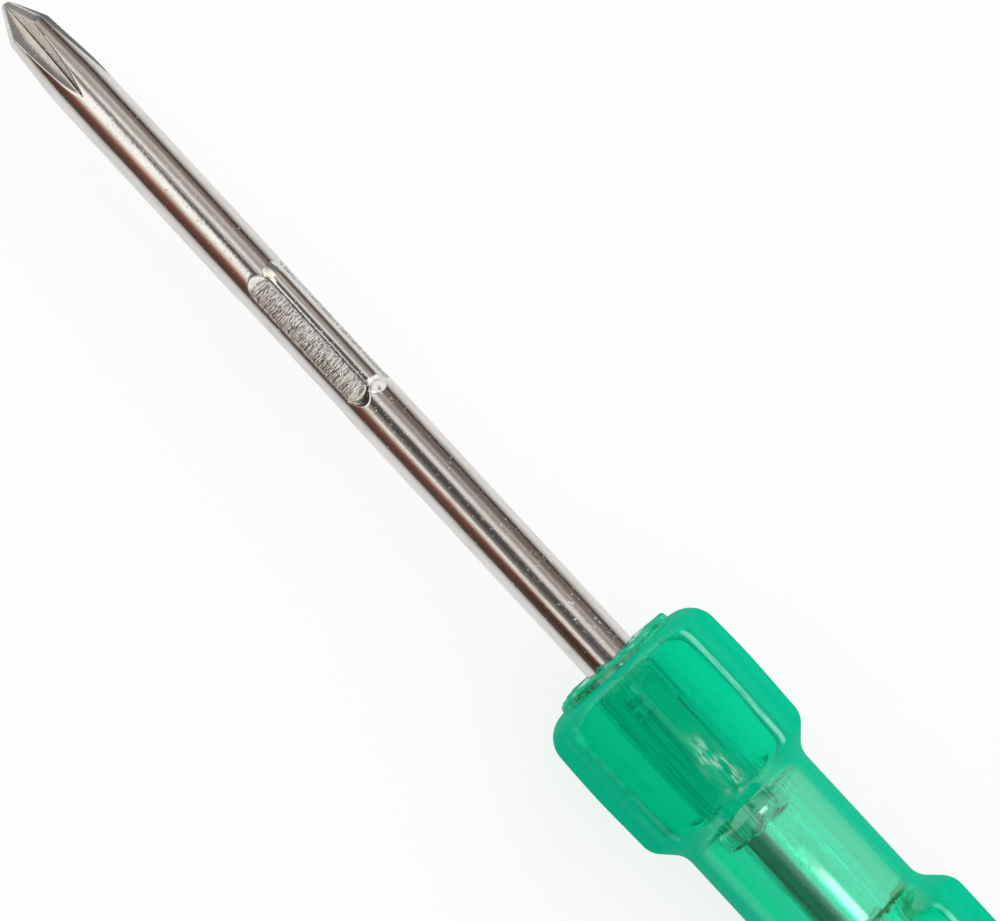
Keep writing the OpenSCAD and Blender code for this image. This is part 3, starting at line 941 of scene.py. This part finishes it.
def room_world():
    """White room for the camera and matt surfaces, with long strips in it for steel and clear plastic."""
    world = bpy.data.worlds.new("Room")
    world.use_nodes = True
    graph = Graph(world.node_tree)
    place = graph.add("ShaderNodeTexCoord", out="Generated")
    ahead, aside, above = graph.parts(place)
    bearing = aside.math("ARCTAN2", above) / FULL_TURN + 0.5

    def turned(start, end):
        """0 at one bearing and 1 at another, in degrees, eased at both ends."""
        return bearing.fade(0.5 + start / 360, 0.5 + end / 360)

    def strips(shades):
        """Colours by bearing, at a share of the room's peak."""
        stops = [
            (0.5 + degrees / 360, tuple(part / ROOM_PEAK for part in shade)) for degrees, shade in shades]
        return graph.add("ShaderNodeValToRGB", {"stops": stops}, {"Fac": bearing}, "Color")

    wedge = 0.086 * turned(-42, -16) * turned(-4, -10)
    shaded = (ahead + wedge).fade(-0.0985, -0.0467)
    doorway = ahead.fade(-0.28, -0.38) * ahead.fade(-0.85, -0.75) * above.fade(-0.05, 0.15)
    doorway = doorway * aside.fade(-0.44, -0.56)
    curtain = ahead.fade(0.0, 0.035) * turned(-62, -72) * above.fade(-0.1, 0.0)
    window = ahead.fade(0.075, 0.11) * ahead.fade(0.34, 0.24)
    panes = graph.mix(turned(-42, -26) * turned(95, 80), (0.15, 0.14, 0.13), (0.96, 0.98, 1.0))
    inside = graph.ray("Is Transmission Ray") * graph.ray("Glossy Depth").math("MINIMUM", 1.0)
    tube = turned(-17, -12) * turned(2, -4) * ahead.fade(0.134, 0.14) * ahead.fade(0.22, 0.19)
    low = turned(30, 42).math("MAXIMUM", turned(-68, -58) * turned(-14, -26))
    screen = ahead.fade(0.25, 0.42) * ahead.fade(0.62, 0.5).math("MAXIMUM", low)
    cupboard = ahead.fade(-0.28, -0.38) * turned(20, 34)
    lamp = ahead.fade(-0.28, -0.37) * above.fade(0.2, 0.5) * aside.fade(-0.58, -0.48) * aside.fade(0.3, 0.1)
    glow = graph.mix(ahead.fade(-0.5, -0.75), (1.0, 0.97, 0.88), (0.5, 0.46, 0.4))
    reflected = strips(OPEN_STRIPS)
    for share, shade in (
            (shaded, strips(SHADED_STRIPS)), (doorway, (0.035, 0.028, 0.024)),
            (curtain * 0.8, (0.02, 0.015, 0.01)), (window, panes),
            (tube * (1 - 0.7 * inside), (5.0, 5.0, 5.0)), (screen * 0.9, (0.92, 0.92, 0.9)),
            (cupboard, (0.15, 0.155, 0.16)), (lamp, glow), (ahead.fade(-0.78, -0.9), (0.28, 0.265, 0.25))):
        reflected = graph.mix(share, reflected, shade)
    scattered = graph.ray("Diffuse Depth").math("MINIMUM", 1.0)
    glossy = graph.ray("Is Glossy Ray") * (1 - 0.7 * scattered)
    dim = 0.5 * above.fade(0.75, -0.1) + 0.4 * aside.fade(0.25, -0.85)
    sides = graph.mix(graph.ray("Is Diffuse Ray") * dim, (1, 1, 1), (0.25, 0.25, 0.25))
    plain = graph.add("ShaderNodeBackground", None, {"Color": sides, "Strength": 1.05})
    mirrored = graph.add("ShaderNodeBackground", None, {"Color": reflected, "Strength": ROOM_PEAK})
    light = graph.add("ShaderNodeMixShader", None, {0: glossy, 1: plain, 2: mirrored})
    graph.add("ShaderNodeOutputWorld", None, {"Surface": light})
    return world


def look_frame(stage):
    """Rotation and place of the camera that looks along the photograph's line of sight."""
    lean, tilt, roll = stage.lean, stage.tilt, stage.roll
    back = Vector((-math.sin(tilt), -math.sin(lean) * math.cos(tilt), math.cos(lean) * math.cos(tilt)))
    along = (Vector((1, 0, 0)) - back * back.x).normalized()
    aside = back.cross(along)
    right = along * math.cos(roll) + aside * math.sin(roll)
    up = aside * math.cos(roll) - along * math.sin(roll)
    turned = Matrix((right, up, back)).transposed().to_4x4()
    target = Vector((POINT_X + stage.look_along, 0, AXIS_HEIGHT)) + aside * stage.look_aside
    return Matrix.Translation(target + back * stage.distance) @ turned


class SCREWDRIVER_OT_blade(bpy.types.Operator):
    """Makes the blade's ground, pressed and slotted steel"""

    bl_idname = "screwdriver.blade"
    bl_label = "Make blade"

    def execute(self, context):
        blade = context.scene.screwdriver_blade
        piece = place_piece(blade_skin(blade, steel_material(blade)), "blade")
        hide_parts("blade")
        return {"FINISHED"}


class SCREWDRIVER_OT_marks(bpy.types.Operator):
    """Makes the ridges that the press leaves across the flats"""

    bl_idname = "screwdriver.marks"
    bl_label = "Make press marks"

    def execute(self, context):
        blade = context.scene.screwdriver_blade
        marks = context.scene.screwdriver_marks
        margin = blade.flat_ramp + MARK_MARGIN
        room = blade.ear_length - 2 * margin
        ridges = through_nodes(ridge_mesh(marks, blade), mark_tree(bpy.data.materials["Plated steel"]), {
            "Marks": marks.count, "Pitch": room / (marks.count - 1),
            "Start": POINT_X + blade.ear_setback + margin, "Floor": blade.shank_radius - blade.flat_depth,
            "Row gap": blade.flat_width * ROW_GAP, "Swell": -1 / blade.flat_crown,
            "Spacing": SLOT_X - POINT_X - 2 * blade.ear_setback - blade.ear_length,
            "Turn": math.pi + blade.turn, "Height": AXIS_HEIGHT, "Seed": marks.seed})
        place_piece(ridges, "blade")
        return {"FINISHED"}


class SCREWDRIVER_OT_handle(bpy.types.Operator):
    """Makes the fluted clear handle with its keyed socket"""

    bl_idname = "screwdriver.handle"
    bl_label = "Make handle"

    def execute(self, context):
        handle = context.scene.screwdriver_handle
        blade = context.scene.screwdriver_blade
        body = through_nodes(handle_skin(handle, blade), flute_tree(acetate_material(handle)), {
            "Count": handle.flutes, "Centre": handle.grip_radius - handle.flute_depth + handle.flute_radius,
            "Hollow": handle.flute_radius, "Rounding": handle.crest_round, "Axis": AXIS_HEIGHT})
        body.set_sharp_from_angle(angle=SHARP_EDGE)
        piece = place_piece(body, "handle")
        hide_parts("handle")
        return {"FINISHED"}


class SCREWDRIVER_OT_stage(bpy.types.Operator):
    """Sets the table, the room and the camera"""

    bl_idname = "screwdriver.stage"
    bl_label = "Set stage"

    def execute(self, context):
        scene = context.scene
        stage = scene.screwdriver_stage
        reach = 4.0
        mesh = bpy.data.meshes.new("table")
        corners = [(-reach, -reach, 0), (reach, -reach, 0), (reach, reach, 0), (-reach, reach, 0)]
        mesh.from_pydata(corners, [], [(0, 1, 2, 3)])
        mesh.materials.append(table_material(stage))
        table = new_object("table", mesh)
        scene.world = room_world()
        lens = bpy.data.cameras.new("camera")
        lens.sensor_width = 36
        lens.lens = lens.sensor_width * stage.distance / stage.frame_width
        lens.clip_end = 50
        camera = new_object("camera", lens)
        camera.matrix_world = look_frame(stage)
        scene.camera = camera
        scene.view_settings.view_transform = "Standard"
        return {"FINISHED"}


class SCREWDRIVER_PT_sidebar(bpy.types.Panel):
    """Lists the screwdriver's sizes and its makers"""

    bl_idname = "SCREWDRIVER_PT_sidebar"
    bl_label = "Screwdriver"
    bl_space_type = "VIEW_3D"
    bl_region_type = "UI"
    bl_category = "Screwdriver"

    def draw(self, context):
        for group, settings in SETTINGS.items():
            box = self.layout.box()
            for name in settings.__annotations__:
                box.prop(getattr(context.scene, group), name)
        for operator in OPERATORS:
            self.layout.operator(operator.bl_idname)


SETTINGS = {
    "screwdriver_blade": BladeSettings,
    "screwdriver_marks": MarkSettings,
    "screwdriver_handle": HandleSettings,
    "screwdriver_stage": StageSettings,
}
OPERATORS = (SCREWDRIVER_OT_blade, SCREWDRIVER_OT_marks, SCREWDRIVER_OT_handle, SCREWDRIVER_OT_stage)


def register():
    """Registers the settings, the operators and the panel."""
    for group, settings in SETTINGS.items():
        bpy.utils.register_class(settings)
        setattr(bpy.types.Scene, group, bpy.props.PointerProperty(type=settings))
    for operator in OPERATORS:
        bpy.utils.register_class(operator)
    bpy.utils.register_class(SCREWDRIVER_PT_sidebar)


def unregister():
    """Takes back what register set."""
    bpy.utils.unregister_class(SCREWDRIVER_PT_sidebar)
    for operator in reversed(OPERATORS):
        bpy.utils.unregister_class(operator)
    for group, settings in reversed(SETTINGS.items()):
        delattr(bpy.types.Scene, group)
        bpy.utils.unregister_class(settings)


def main():
    """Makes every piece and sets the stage."""
    register()
    bpy.ops.screwdriver.blade()
    bpy.ops.screwdriver.marks()
    bpy.ops.screwdriver.handle()
    bpy.ops.screwdriver.stage()


if __name__ == "__main__":
    main()
